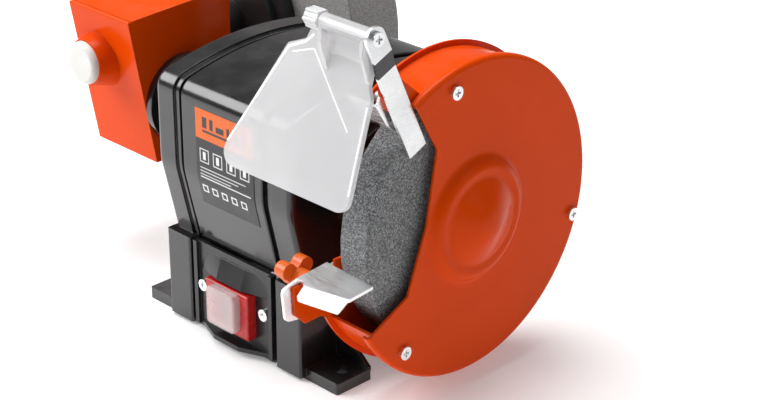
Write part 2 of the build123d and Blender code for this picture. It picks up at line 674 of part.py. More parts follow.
with BuildPart() as guard_cover:
    with BuildSketch(Plane(origin=(0, 0, AXIS_Z), x_dir=(1, 0, 0), z_dir=(0, -1, 0))) as half_section:
        with BuildLine():
            outer_line = Spline(*cover_profile(0), tangents=[(0, -1), (0, -1)])
            inner_line = Spline(*cover_profile(PLATE_T), tangents=[(0, -1), (0, -1)])
            Line(outer_line @ 1, inner_line @ 1)
            Polyline(inner_line @ 0, (COVER_IN, GUARD_R - PLATE_T), (COVER_X - SKIRT, GUARD_R - PLATE_T),
                     (COVER_X - SKIRT, GUARD_R), (COVER_X, GUARD_R), outer_line @ 0)
        make_face()
        fillet(half_section.vertices().sort_by_distance((COVER_X, GUARD_R))[0], 2.6)
    revolve(axis=Axis((0, 0, AXIS_Z), (1, 0, 0)))
    extrude(polygon(along_x(COVER_X - SKIRT - 1), OPENING), amount=SKIRT + 2, mode=Mode.SUBTRACT)
    for y, z in COVER_SCREWS:
        rod(COVER_IN - 1, COVER_X + 1, 2.0, y, z, mode=Mode.SUBTRACT)
save(guard_cover, "guard_cover")

with BuildPart() as guard_cover_screws:
    for y, z in COVER_SCREWS:
        pan_screw(along_x(COVER_X), (y, z), 3.8, 2.4, 1.9, 7)
save(guard_cover_screws, "guard_cover_screws")

# cast spacer that carries the guard on the right bell
with BuildPart() as guard_spacer:
    rod(BELL_END, BELL_END + 5, NECK_R)
    rod(BELL_END, NECK_X1, NECK_R - 8)
    rod(NECK_X1 - 5, NECK_X1, NECK_R)
    for y, z in NECK_BOLTS:
        rod(BELL_END, NECK_X1, 5.5, y, z)
    rod(BELL_END, NECK_X1, SHAFT_R + 6, mode=Mode.SUBTRACT)
    for y, z in NECK_BOLTS:
        rod(BELL_END, NECK_X1, 2.5, y, z, mode=Mode.SUBTRACT)
save(guard_spacer, "guard_spacer")

with BuildPart() as guard_screws:
    for y, z in NECK_BOLTS:
        pan_screw(along_x(BACK_X), (y, z), 4.0, 1.8, 2.4, 48)
save(guard_screws, "guard_screws")

# ================================================================ dry wheel
with BuildPart() as inner_flange:
    rod(FLANGE_IN_X0, DRY_X0 - PAPER_T, FLANGE_R - 4, bore=SHAFT_END_R)
    rod(BACK_X + 1.0, DRY_X0 - PAPER_T, FLANGE_R, bore=SHAFT_END_R)
save(inner_flange, "inner_flange")

with BuildPart() as wheel_papers:
    rod(DRY_X0 - PAPER_T, DRY_X0, FLANGE_R + 4, bore=SHAFT_END_R)
    rod(DRY_X1, DRY_X1 + PAPER_T, FLANGE_R + 4, bore=SHAFT_END_R)
save(wheel_papers, "wheel_papers")

with BuildPart() as dry_wheel:
    rod(DRY_X0, DRY_X1, DRY_R, bore=SHAFT_END_R)
    chamfer(dry_wheel.edges().filter_by(GeomType.CIRCLE).sort_by(SortBy.RADIUS)[-2:], 0.6)
save(dry_wheel, "dry_wheel")

OUT_FLANGE_T = 3.4
NUT_T = 6.5
with BuildPart() as outer_flange:
    rod(DRY_X1 + PAPER_T, DRY_X1 + PAPER_T + OUT_FLANGE_T, FLANGE_R, bore=SHAFT_END_R)
    rod(DRY_X1 + PAPER_T, DRY_X1 + PAPER_T + 1, FLANGE_R - 6, bore=SHAFT_END_R, mode=Mode.SUBTRACT)
    chamfer(outer_flange.edges().filter_by(GeomType.CIRCLE).sort_by(Axis.X)[-2:], 0.5)
save(outer_flange, "outer_flange")

with BuildPart() as dry_wheel_nut:
    hexagon(along_x(DRY_X1 + PAPER_T + OUT_FLANGE_T), (0, AXIS_Z), 19, NUT_T, bore=SHAFT_END_R)
save(dry_wheel_nut, "dry_wheel_nut")

# ================================================================ eye shield
TAB_T = 1.8
TAB_X1 = LUG_X0 - FACE_GAP
NUT_X1 = TAB_X1 - TAB_T - FACE_GAP
STUD_OUT = 9.0              # stud past the nut's seat
ARM_PLANE = Plane(origin=(ARM_X, *arm_point(0)), x_dir=(0, *ARM_DIR), z_dir=(0, ARM_DIR[1], -ARM_DIR[0]))
with BuildPart() as shield_arm:
    side_view = [(0, 0), (ARM_JOG_AT, 0), (ARM_JOG_AT + ARM_JOG_LEN, ARM_JOG), (ARM_LEN, ARM_JOG),
                 (ARM_LEN, ARM_T + ARM_JOG), (ARM_JOG_AT + ARM_JOG_LEN - 0.4, ARM_T + ARM_JOG),
                 (ARM_JOG_AT - 0.4, ARM_T), (0, ARM_T)]
    extrude(polygon(ARM_PLANE, side_view), amount=ARM_W / 2, both=True)
    fillet(shield_arm.edges().filter_by(Axis.X).sort_by(Axis.Z)[-2:], ARM_W / 2 - 0.1)
    rod(ARM_X, ARM_X + ARM_JOG + ARM_T + 1, PIN_R, *HINGE, mode=Mode.SUBTRACT)
    rod(NUT_X1 - STUD_OUT, ARM_X, ARM_BOLT_R, *ARM_BOLT)
save(shield_arm, "shield_arm")

with BuildPart() as star_washer:
    with BuildSketch(along_x(NUT_X1 - 1.2)):
        with Locations(ARM_BOLT):
            Circle(4.6)
            with PolarLocations(5.0, 10):
                Rectangle(1.6, 1.2)
            Circle(ARM_BOLT_R + 0.1, mode=Mode.SUBTRACT)
    extrude(amount=1.2)
save(star_washer, "star_washer")
with BuildPart() as arm_nut:
    hexagon(along_x(NUT_X1 - 1.2 - 4), ARM_BOLT, 8, 4, bore=ARM_BOLT_R)
save(arm_nut, "arm_nut")

# spark arrester: a plate across the wheel's rim, with a slotted side tab under the nut
SPARK_X0 = DRY_X0 - 1.0
SPARK_LEAN = 32.0           # degrees from upright; the plate slides straight at the wheel
SPARK_DIR = (sin(radians(SPARK_LEAN)), -cos(radians(SPARK_LEAN)))
SPARK_ROOT = (-67.0, AXIS_Z + 81.6)
SPARK_LEN = 14.0
SPARK_LIP = (5.0, -4.0)     # the lower edge is turned in toward the wheel (y, z)
SPARK_T = 1.6
SPARK_SLIDE = 4.5
TAB_W = 12.0


def spark_point(along):
    """Point on the arrester's plate, measured down from its upper edge (y, z)."""
    return (SPARK_ROOT[0] + along * SPARK_DIR[0], SPARK_ROOT[1] + along * SPARK_DIR[1])


with BuildPart() as spark_arrester:
    plate_end = spark_point(SPARK_LEN)
    with BuildSketch(along_x(SPARK_X0)):
        with BuildLine():
            lip_end = (plate_end[0] + SPARK_LIP[0], plate_end[1] + SPARK_LIP[1])
            path = Polyline(SPARK_ROOT, plate_end, lip_end)
            offset(path, amount=SPARK_T / 2)
        make_face()
    extrude(amount=TAB_X1 - SPARK_X0)
    with BuildSketch(along_x(TAB_X1 - TAB_T)):
        with Locations(ARM_BOLT):
            with Locations(Location((0, 0, 0), (0, 0, 90 + SPARK_LEAN))):
                SlotCenterToCenter(2 * SPARK_SLIDE, TAB_W)
        with Locations(spark_point(1), spark_point(SPARK_LEN - 1)):
            Circle(SPARK_T / 2)
        make_hull()
        with Locations(ARM_BOLT):
            with Locations(Location((0, 0, 0), (0, 0, 90 + SPARK_LEAN))):
                SlotCenterToCenter(2 * SPARK_SLIDE, 2 * (ARM_BOLT_R + GAP), mode=Mode.SUBTRACT)
    extrude(amount=TAB_T)
save(spark_arrester, "spark_arrester")

# clear shield: hinge tube, short web and a leaning sheet
WEB_X0 = 88.5
WEB_X1 = 120.2              # stays clear of the arm's lower part
RIB_T = 2.2
SHEET_TOP = (HINGE[0] + 3.8, HINGE[1] - 17.0)
SHEET_DIR = (sin(radians(SHEET_LEAN)), cos(radians(SHEET_LEAN)))
SHEET_PLANE = Plane(origin=(0, *SHEET_TOP), x_dir=(1, 0, 0), z_dir=(0, -SHEET_DIR[1], SHEET_DIR[0]))
SHEET_DROP = 76.0
SHEET_CORNER = (59.5, -2.8)  # upper left corner, on the sheet
with BuildPart() as eye_shield:
    with BuildSketch(SHEET_PLANE) as sheet:
        with BuildLine():
            Polyline((WEB_X0, 8), (SHEET_CORNER[0] + 14, 8), (SHEET_CORNER[0] + 12, 2.4), SHEET_CORNER,
                     (SHEET_LEFT, -SHEET_DROP), (SHEET_RIGHT, -SHEET_DROP), (SHEET_RIGHT, -16),
                     (WEB_X1, -10), (WEB_X1, 8), close=True)
        make_face()
        fillet(sheet.vertices().group_by(Axis.Y)[0], 8.0)
        fillet(sheet.vertices().sort_by_distance(SHEET_CORNER)[0], 2.0)
    extrude(amount=SHEET_T / 2, both=True)
    web = [(HINGE[0] - 1.6, HINGE[1]), (HINGE[0] + 1.8, HINGE[1]), (SHEET_TOP[0] + 3.6, SHEET_TOP[1] + 6),
           (SHEET_TOP[0] + 1.4, SHEET_TOP[1]), (SHEET_TOP[0] - 1.4, SHEET_TOP[1]),
           (HINGE[0] + 0.4, SHEET_TOP[1] + 7)]
    extrude(polygon(along_x(WEB_X0), web), amount=WEB_X1 - WEB_X0)
    for x in (WEB_X0, WEB_X1 - RIB_T):
        side_rib = [(HINGE[0] - 4, HINGE[1]), (HINGE[0] + 4, HINGE[1]), (SHEET_TOP[0] + 3, SHEET_TOP[1] + 2),
                    (SHEET_TOP[0] - 4, SHEET_TOP[1] - 8), (HINGE[0] - 5, HINGE[1] - 10)]
        extrude(polygon(along_x(x), side_rib), amount=RIB_T)
    rod(WEB_X0, TUBE_X1, TUBE_R, *HINGE)
    rod(WEB_X0 - 1, TUBE_X1 + 1, PIN_R + RUN_FIT, *HINGE, mode=Mode.SUBTRACT)
save(eye_shield, "eye_shield")

KNOB_X1 = WEB_X0 - 0.8
KNOB_X0 = KNOB_X1 - 9.5
KNOB_R = 4.9
HEAD_T = 2.2
PIN_X1 = ARM_X + ARM_JOG + ARM_T
with BuildPart() as shield_pin:
    rod(KNOB_X0 + 2, PIN_X1, PIN_R, *HINGE)
    rod(PIN_X1, PIN_X1 + HEAD_T, 3.8, *HINGE)
    with BuildSketch(along_x(PIN_X1 + HEAD_T)):
        with Locations(HINGE):
            Rectangle(4.4, 1.1)
            Rectangle(1.1, 4.4)
    extrude(amount=-1.2, mode=Mode.SUBTRACT)
save(shield_pin, "shield_pin")

with BuildPart() as shield_knob:
    with BuildSketch(along_x(KNOB_X0)):
        with Locations(HINGE):
            Circle(KNOB_R)
            with PolarLocations(KNOB_R - 0.4, 6):
                Circle(1.2)
    extrude(amount=KNOB_X1 - KNOB_X0)
    rod(KNOB_X0 + 1.8, KNOB_X1, PIN_R + RUN_FIT, *HINGE, mode=Mode.SUBTRACT)
save(shield_knob, "shield_knob")

# ================================================================ tool rest
LEG_X1 = NECK_X1 - FACE_GAP
LEG_X0 = LEG_X1 - REST_T
REST_DIR = (cos(radians(REST_TILT)), sin(radians(REST_TILT)))
REST_PLANE = Plane(origin=(0, REST_BACK, REST_Z), x_dir=(1, 0, 0), z_dir=(0, -REST_DIR[1], REST_DIR[0]))
BEND_X0 = 100.0
FLANGE_H = 10.0
with BuildPart() as tool_rest:
    # REST_PLANE's own Y runs to the back along the plate
    extrude(polygon(REST_PLANE, [(LEG_X0, 0), (REST_RIGHT, -2), (REST_RIGHT, -19), (BEND_X0, -24.5),
                                 (BEND_X0 - 3, -22), (LEG_X0, -22)]), amount=-REST_T)
    run = REST_RIGHT - BEND_X0
    front = Vector(run, 5.5, 0).normalized()
    bend = Plane(origin=(BEND_X0, REST_BACK - 24.5, REST_Z - 24.5 * REST_SLOPE - 0.3), x_dir=front,
                 z_dir=(front.Y, -front.X, 0))
    with BuildSketch(bend) as flange:
        with BuildLine():
            Polyline((0, 0), (run + 0.6, 0.4), (run - 6.5, -FLANGE_H), (-4, -FLANGE_H),
                     (-4.4, -FLANGE_H + 3), close=True)
        make_face()
        fillet(flange.vertices().group_by(Axis.Y)[0], 1.6)
    extrude(amount=-REST_T)
    with BuildSketch(along_x(LEG_X0)) as leg:
        with BuildLine():
            Polyline((REST_BACK + 6, rest_under(REST_BACK + 6)), (REST_BACK, rest_under(REST_BACK)),
                     (REST_BACK, REST_Z), (REST_BACK - 22, REST_Z - 22 * REST_SLOPE),
                     (REST_BACK - 33, rest_under(REST_BACK - 33)), (REST_BACK - 31, 68.5),
                     (REST_BACK - 21, 67.0), (REST_BACK + 6, 71.0), close=True)
        make_face()
        fillet(leg.vertices().sort_by(Axis.X)[0:2], 3.5)
        with Locations((REST_BOLT_Y, REST_BOLT_Z)):
            with Locations(Location((0, 0, 0), (0, 0, REST_TILT))):
                with Locations((-5, 0)):
                    SlotOverall(29, 2 * (REST_BOLT_R + 0.15), mode=Mode.SUBTRACT)
    extrude(amount=REST_T)
save(tool_rest, "tool_rest")

HUB_X0 = WING_X - 4.0
with BuildPart() as rest_bolt:
    rod(HUB_X0 + 3, BACK_X, REST_BOLT_R, REST_BOLT_Y, REST_BOLT_Z)
    rod(BACK_X, BACK_X + 1.2, 6.0, REST_BOLT_Y, REST_BOLT_Z)
    rod(BACK_X + 1.2, BACK_X + 2.4, 4.4, REST_BOLT_Y, REST_BOLT_Z)
save(rest_bolt, "rest_bolt")

WING_R = 4.6
WING_T = 8.0
with BuildPart() as rest_wing_knob:
    with BuildSketch(along_x(HUB_X0)) as wings:
        with Locations((REST_BOLT_Y, REST_BOLT_Z)):
            with Locations((-6.0, 5.0), (6.0, 5.0)):
                Circle(WING_R)
            Circle(5.6)
            with Locations((-3.2, 2.2), (3.2, 2.2)):
                Circle(4.6)
    extrude(amount=WING_T)
    fillet(rest_wing_knob.faces().sort_by(Axis.X)[0].edges(), 1.6)
    rod(HUB_X0 + WING_T, LEG_X0 - FACE_GAP, 5.6, REST_BOLT_Y, REST_BOLT_Z)
    rod(HUB_X0 + 2.5, LEG_X0, REST_BOLT_R + RUN_FIT, REST_BOLT_Y, REST_BOLT_Z, mode=Mode.SUBTRACT)
save(rest_wing_knob, "rest_wing_knob")

# ================================================================ worm gearbox
COVER_PLATE = 3.0
BOX_SIDE = [(BOX_BACK, BOX_LOW), (BOX_BACK, BOX_HIGH + BOX_RISE), (COVER_PLATE - BOX_FRONT_TOP, BOX_HIGH),
            (COVER_PLATE - BOX_FRONT_LOW, BOX_LOW)]
BUSH_R = 10.0
BUSH_BACK = 12.0
NECK_BOX_R = 26.0
WORM_SHAFT_R = SHAFT_END_R - 1.35
WORM_BUSH_R = 8.0
BOX_BOLTS = [(y, AXIS_Z + z) for y in (-17, 17) for z in (-17, 17)]
with BuildPart() as gearbox_housing:
    extrude(polygon(along_x(BOX_X0), BOX_SIDE), amount=BOX_X1 - BOX_X0)
    fillet(gearbox_housing.edges().filter_by(Axis.X).sort_by(Axis.Y)[-2:], 3.0)
    inside = [(BOX_BACK - BOX_WALL, BOX_LOW + BOX_WALL), (BOX_BACK - BOX_WALL, BOX_HIGH),
              (-BOX_FRONT_TOP, BOX_HIGH - BOX_WALL), (-BOX_FRONT_TOP, BOX_LOW + BOX_WALL)]
    extrude(polygon(along_x(BOX_X0 + BOX_WALL), inside), amount=BOX_X1 - BOX_X0 - 2 * BOX_WALL,
            mode=Mode.SUBTRACT)
    rod(BOX_X0 + 1, WORM_X0 - GAP, WORM_BUSH_R + 3)
    rod_y(BOX_BACK - 6, BOX_BACK + BUSH_BACK - 6, BUSH_R + 4)
    rod(BOX_X0 + 2, WORM_X0 - GAP, WORM_BUSH_R, mode=Mode.SUBTRACT)
    rod_y(BOX_BACK - 6, BOX_BACK + BUSH_BACK - 6, BUSH_R, mode=Mode.SUBTRACT)
    rod(BOX_X1 - BOX_WALL, BOX_X1, WORM_SHAFT_R + 3, mode=Mode.SUBTRACT)
    for y, z in BOX_BOLTS:
        rod(BOX_X1 - BOX_WALL, BOX_X1, 2.5, y, z, mode=Mode.SUBTRACT)
save(gearbox_housing, "gearbox_housing")


def front_y(z):
    """Depth of the gearbox's raked front face at a height."""
    share = (BOX_HIGH - z) / (BOX_HIGH - BOX_LOW)
    return -BOX_FRONT_TOP + share * (BOX_FRONT_TOP - BOX_FRONT_LOW)


BOSS_Y1 = front_y(WET_Z) - BOSS_OUT
with BuildPart() as gearbox_front:
    extrude(polygon(along_x(BOX_X0), [(-BOX_FRONT_TOP, BOX_HIGH), (COVER_PLATE - BOX_FRONT_TOP, BOX_HIGH),
                                      (COVER_PLATE - BOX_FRONT_LOW, BOX_LOW), (-BOX_FRONT_LOW, BOX_LOW)]),
            amount=BOX_X1 - BOX_X0)
    fillet(gearbox_front.faces().sort_by(Axis.Y)[0].edges(), 1.4)
    with BuildSketch(along_y(front_y(WET_Z - BOSS_R) + COVER_PLATE + 1)) as boss_root:
        with Locations((WET_X, WET_Z)):
            Circle(BOSS_R)
    with BuildSketch(along_y(BOSS_Y1)) as boss_tip:
        with Locations((WET_X, WET_Z)):
            Circle(BOSS_TIP_R)
    loft([boss_root.sketch.face(), boss_tip.sketch.face()])
    behind = [(COVER_PLATE - BOX_FRONT_TOP, BOX_HIGH), (0, BOX_HIGH), (0, BOX_LOW),
              (COVER_PLATE - BOX_FRONT_LOW, BOX_LOW)]
    extrude(polygon(along_x(BOX_X0), behind), amount=BOX_X1 - BOX_X0, mode=Mode.SUBTRACT)
    rod_y(BOSS_Y1, 0, BUSH_R, mode=Mode.SUBTRACT)
save(gearbox_front, "gearbox_front")

with BuildPart() as boss_cap:
    rod_y(BOSS_Y1 - 4.5, BOSS_Y1, BOSS_TIP_R - 1)
    fillet(boss_cap.faces().sort_by(Axis.Y)[0].edges(), 3.0)
    rod_y(BOSS_Y1, BOSS_Y1 + 3, BUSH_R)
save(boss_cap, "boss_cap")

with BuildPart() as gearbox_neck:
    rod(-BELL_END - 5, -BELL_END, NECK_R)
    rod(BOX_X1 + 5, -BELL_END - 5, NECK_BOX_R - 8)
    rod(BOX_X1, BOX_X1 + 5, NECK_BOX_R + 3)
    rod(BOX_X1, -BELL_END, SHAFT_R + 6, mode=Mode.SUBTRACT)
    for y, z in NECK_BOLTS:
        rod(-BELL_END - 5, -BELL_END, 2.5, y, z, mode=Mode.SUBTRACT)
    for y, z in BOX_BOLTS:
        rod(BOX_X1, BOX_X1 + 5, 2.5, y, z, mode=Mode.SUBTRACT)
save(gearbox_neck, "gearbox_neck")

with BuildPart() as neck_bolts:
    for y, z in NECK_BOLTS:
        hexagon(Plane(origin=(-BELL_END - 5, 0, 0), x_dir=(0, -1, 0), z_dir=(-1, 0, 0)), (-y, z), 8, 3.5)
        rod(-BELL_END - 5, -BEARING_IN - 3, 2.4, y, z)
    for y, z in BOX_BOLTS:
        hexagon(along_x(BOX_X1 + 5), (y, z), 8, 3.5)
        rod(BOX_X1 - BOX_WALL - 4, BOX_X1 + 5, 2.4, y, z)
save(neck_bolts, "neck_bolts")

with BuildPart() as worm:
    pitch = 4.8
    turns = int((WORM_X1 - WORM_X0) / pitch)
    rod(WORM_X0, WORM_X1, WORM_R, bore=WORM_SHAFT_R)
    for turn in range(turns):
        start = WORM_X0 + 1.5 + pitch * turn
        rod(start, start + 2.2, WORM_R, bore=WORM_R - 1.0, mode=Mode.SUBTRACT)
save(worm, "worm")

with BuildPart() as worm_wheel:
    rod_y(-7, 7, GEAR_R, bore=OUT_R)
    with BuildSketch(along_y(7)):
        with Locations((WET_X, WET_Z)):
            with PolarLocations(GEAR_R, RATIO):
                Trapezoid(4.4, 2.6, 75, rotation=90)
    extrude(amount=14, mode=Mode.SUBTRACT)
    for side in (1, -1):
        rod_y(4 * side, 7 * side, GEAR_R - 6, bore=OUT_R + 4, mode=Mode.SUBTRACT)
save(worm_wheel, "worm_wheel")

WET_Y1 = WET_Y0 + WET_W
WET_FLANGE_T = 6.0
OUT_END = WET_Y1 + WET_FLANGE_T + 13.0
with BuildPart() as output_shaft:
    rod_y(BOSS_Y1 + 4, OUT_END, OUT_R)
    chamfer(output_shaft.faces().sort_by(Axis.Y)[-1].edges(), 0.8)
save(output_shaft, "output_shaft")

with BuildPart() as shaft_bushes:
    rod_y(BOSS_Y1 + 4, BOSS_Y1 + 16, BUSH_R, bore=OUT_R + RUN_FIT)
    rod_y(BOX_BACK - 6, BOX_BACK + BUSH_BACK - 6, BUSH_R, bore=OUT_R + RUN_FIT)
    rod(BOX_X0 + 2, WORM_X0 - GAP, WORM_BUSH_R, bore=WORM_SHAFT_R + RUN_FIT)
save(shaft_bushes, "shaft_bushes")

# ================================================================ wet wheel
HUB_Y0 = WET_Y0 - HUB_T
with BuildPart() as wet_wheel_hub:
    rod_y(HUB_Y0 - 16, HUB_Y0, 13)
    rod_y(HUB_Y0, HUB_Y0 + 5, HUB_NOSE_R)
    rod_y(HUB_Y0 + 5, WET_Y0, HUB_R)
    rod_y(WET_Y0, WET_Y0 + WET_W / 2, WET_BORE_R)
    chamfer(wet_wheel_hub.edges().filter_by(GeomType.CIRCLE).filter_by(
        lambda edge: edge.radius > HUB_NOSE_R - 1).sort_by(Axis.Y)[0], 1.2)
    rod_y(HUB_Y0 - 16, WET_Y0 + WET_W / 2, OUT_R, mode=Mode.SUBTRACT)
save(wet_wheel_hub, "wet_wheel_hub")

with BuildPart() as wet_wheel:
    rod_y(WET_Y0, WET_Y1, WET_R, bore=WET_BORE_R)
    chamfer(wet_wheel.edges().filter_by(GeomType.CIRCLE).sort_by(SortBy.RADIUS)[-2:], 1.0)
save(wet_wheel, "wet_wheel")

with BuildPart() as wet_wheel_flange:
    rod_y(WET_Y1, WET_Y1 + WET_FLANGE_T, HUB_NOSE_R, bore=OUT_R)
    rod_y(WET_Y0 + WET_W / 2, WET_Y1, WET_BORE_R, bore=OUT_R)
    chamfer(wet_wheel_flange.faces().sort_by(Axis.Y)[-1].outer_wire().edges(), 1.5)
save(wet_wheel_flange, "wet_wheel_flange")

BACK_FACE = Plane(origin=(0, WET_Y1 + WET_FLANGE_T, 0), x_dir=(-1, 0, 0), z_dir=(0, 1, 0))
with BuildPart() as wet_wheel_nut:
    hexagon(BACK_FACE, (-WET_X, WET_Z), 19, 10, bore=OUT_R)
save(wet_wheel_nut, "wet_wheel_nut")

# ================================================================ water tray
LIP = 2.5
SHELF_T = 3.0
SHELF_X0 = WET_X - 17.0
SHELF_X1 = WET_X + 25.0
with BuildPart() as tray_bracket:
    block(SHELF_X0, SHELF_X1, -10, TRAY_Y0 - 0.3, BOX_LOW - SHELF_T, BOX_LOW)
    block(SHELF_X0, SHELF_X1, TRAY_Y0 - 0.3 - LIP, TRAY_Y0 - 0.3, BOX_LOW, BOX_LOW + 10)
    for x in (SHELF_X0 + 8, SHELF_X1 - 8):
        rod_z(BOX_LOW - SHELF_T, BOX_LOW, 2.2, x, 5, mode=Mode.SUBTRACT)
        rod_z(BOX_LOW - SHELF_T, BOX_LOW, 2.2, x, 28, mode=Mode.SUBTRACT)
save(tray_bracket, "tray_bracket")

with BuildPart() as bracket_screws:
    below = Plane(origin=(0, 0, BOX_LOW - SHELF_T), x_dir=(1, 0, 0), z_dir=(0, 0, -1))
    for x in (SHELF_X0 + 8, SHELF_X1 - 8):
        for y in (5, 28):
            pan_screw(below, (x, -y), 4.0, 2.4, 2.1, SHELF_T)
save(bracket_screws, "bracket_screws")

TRAY_DEEP_R = 62.0
with BuildPart() as water_tray:
    block(TRAY_X0, TRAY_X1, TRAY_Y0, TRAY_Y1, TRAY_LOW, TRAY_RIM)
    fillet(water_tray.edges().filter_by(Axis.Y).group_by(Axis.Z)[0], TRAY_DEEP_R)
    offset(amount=-TRAY_WALL, openings=water_tray.faces().sort_by(Axis.Z)[-1])
    rod_y(TRAY_Y0 - 1, TRAY_Y0 + TRAY_WALL + 1, HUB_R + 3, mode=Mode.SUBTRACT)
    # hooks that drop over the bracket's lip
    hook_back = TRAY_Y0 - 0.3 - LIP - 0.3
    for x in (SHELF_X0 + 2, SHELF_X1 - 14):
        block(x, x + 12, hook_back - LIP, TRAY_Y0 + 1, BOX_LOW + 10, BOX_LOW + 12.2)
        block(x, x + 12, hook_back - LIP, hook_back, BOX_LOW + 3, BOX_LOW + 12.2)
save(water_tray, "water_tray")

print("parts written")
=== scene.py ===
# %% [markdown]
# # A bench grinder with a dry wheel and a geared wet wheel
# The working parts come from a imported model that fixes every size. This lesson gives them their finishes,
# swaps the plainest pieces for finer ones, and sets up a soft studio around the machine.

from math import cos, pi, radians, sin

import bmesh
import bpy
from mathutils import Matrix, Vector, noise


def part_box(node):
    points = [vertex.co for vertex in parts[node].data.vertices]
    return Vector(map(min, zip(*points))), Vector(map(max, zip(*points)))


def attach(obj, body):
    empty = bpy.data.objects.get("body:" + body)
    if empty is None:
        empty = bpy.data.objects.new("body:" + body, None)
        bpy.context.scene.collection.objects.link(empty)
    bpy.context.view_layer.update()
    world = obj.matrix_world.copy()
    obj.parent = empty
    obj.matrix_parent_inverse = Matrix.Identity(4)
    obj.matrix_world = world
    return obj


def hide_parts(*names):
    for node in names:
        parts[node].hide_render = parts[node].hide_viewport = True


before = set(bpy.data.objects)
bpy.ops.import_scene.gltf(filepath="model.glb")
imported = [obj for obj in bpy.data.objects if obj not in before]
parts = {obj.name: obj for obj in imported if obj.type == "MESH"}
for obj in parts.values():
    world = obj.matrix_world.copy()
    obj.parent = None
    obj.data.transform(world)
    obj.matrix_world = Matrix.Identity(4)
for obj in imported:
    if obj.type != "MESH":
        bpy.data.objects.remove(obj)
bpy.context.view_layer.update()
print("pieces loaded:", len(parts))

# %% [markdown]
# ## Talking to the shader editor
# A finish is a small graph of nodes. Wiring it by hand in the editor is slow to repeat, so three short
# helpers do it: one sets or links a socket, one makes a node, and one does a sum. Every pattern is placed
# in metres on the piece itself, so it stays put when a joint moves.

# %% Helpers for node graphs
def feed(tree, socket, value):
    """Links a socket to another, or sets its value."""
    if isinstance(value, bpy.types.NodeSocket):
        tree.links.new(value, socket)
    else:
        socket.default_value = value


def node(tree, kind, inputs=None, **settings):
    """Makes one node, with its settings first and its sockets after."""
    made = tree.nodes.new(kind)
    for key, value in settings.items():
        setattr(made, key, value)
    for key, value in (inputs or {}).items():
        feed(tree, made.inputs[key], value)
    return made


def calc(tree, operation, first, second=0.0, third=0.0):
    """One sum of a Math node."""
    return node(tree, "ShaderNodeMath", {0: first, 1: second, 2: third}, operation=operation).outputs[0]


def ramp(tree, value, low, high, out_low=0.0, out_high=1.0):
    """Stretches low..high of a value to out_low..out_high, and clips it there."""
    made = node(tree, "ShaderNodeMapRange", {"Value": value, "From Min": low, "From Max": high,
                                             "To Min": out_low, "To Max": out_high})
    return made.outputs["Result"]


def tint(tree, amount, one, two):
    """Mixes two colours by an amount."""
    return node(tree, "ShaderNodeMix", {0: amount, 6: one, 7: two}, data_type="RGBA").outputs[2]


print("node helpers ready")

# %% [markdown]
# ## Noise that sits on the piece
# Real surfaces are never even. Noise at three scales gives cloudy wear, fingerprints and fine grain.
# Stretching the coordinates of the same noise turns grain into brushed or rolled streaks.

# %% Patterns
def place(tree, stretch=(1, 1, 1)):
    """Points of the piece in metres, stretched along its axes."""
    here = node(tree, "ShaderNodeTexCoord").outputs["Object"]
    return node(tree, "ShaderNodeMapping", {"Vector": here, "Scale": stretch}).outputs["Vector"]


def cloud(tree, scale, detail=3.0, stretch=(1, 1, 1), rough=0.5):
    """Soft noise between 0 and 1, with scale in waves per metre."""
    made = node(tree, "ShaderNodeTexNoise", {"Vector": place(tree, stretch), "Scale": scale,
                                             "Detail": detail, "Roughness": rough})
    return made.outputs[0]


def soft_normal(tree, radius):
    """Normal that rounds off sharp edges, so that they catch the light."""
    return node(tree, "ShaderNodeBevel", {"Radius": radius}, samples=4).outputs[0]


def edge_wear_and_highlight(tree, radius, low=0.02, high=0.25):
    """Mask that is 1 on sharp outer edges, broken up by noise, and the softened normal."""
    soft = soft_normal(tree, radius)
    hard = node(tree, "ShaderNodeNewGeometry").outputs["Normal"]
    same = node(tree, "ShaderNodeVectorMath", {0: soft, 1: hard}, operation="DOT_PRODUCT").outputs["Value"]
    turn = calc(tree, "SUBTRACT", 1.0, same)
    broken = calc(tree, "MULTIPLY", turn, ramp(tree, cloud(tree, 260, 5), 0.42, 0.62))
    return ramp(tree, broken, low, high), soft


def relief(tree, height, strength, distance, normal=None):
    """Bump from a height pattern."""
    inputs = {"Height": height, "Strength": strength, "Distance": distance}
    if normal:
        inputs["Normal"] = normal
    return node(tree, "ShaderNodeBump", inputs).outputs[0]


def new_finish(name, **constant):
    """Starts a finish and sets what is the same all over it on the shader itself."""
    finish = bpy.data.materials.new(name)
    finish.use_nodes = True
    tree = finish.node_tree
    shader = tree.nodes["Principled BSDF"]
    for key, value in constant.items():
        shader.inputs[key.replace("_", " ")].default_value = value
    return finish, tree, shader


print("patterns ready")

# %% [markdown]
# ## Painted metal
# The guard and gearbox are sprayed a strong orange and the motor casing a deep black. Sprayed paint has a
# faint dimpled skin, a clear gloss over its colour, cloudy handling marks, and thin worn lines on its sharp
# edges. One recipe with a few numbers covers both colours.

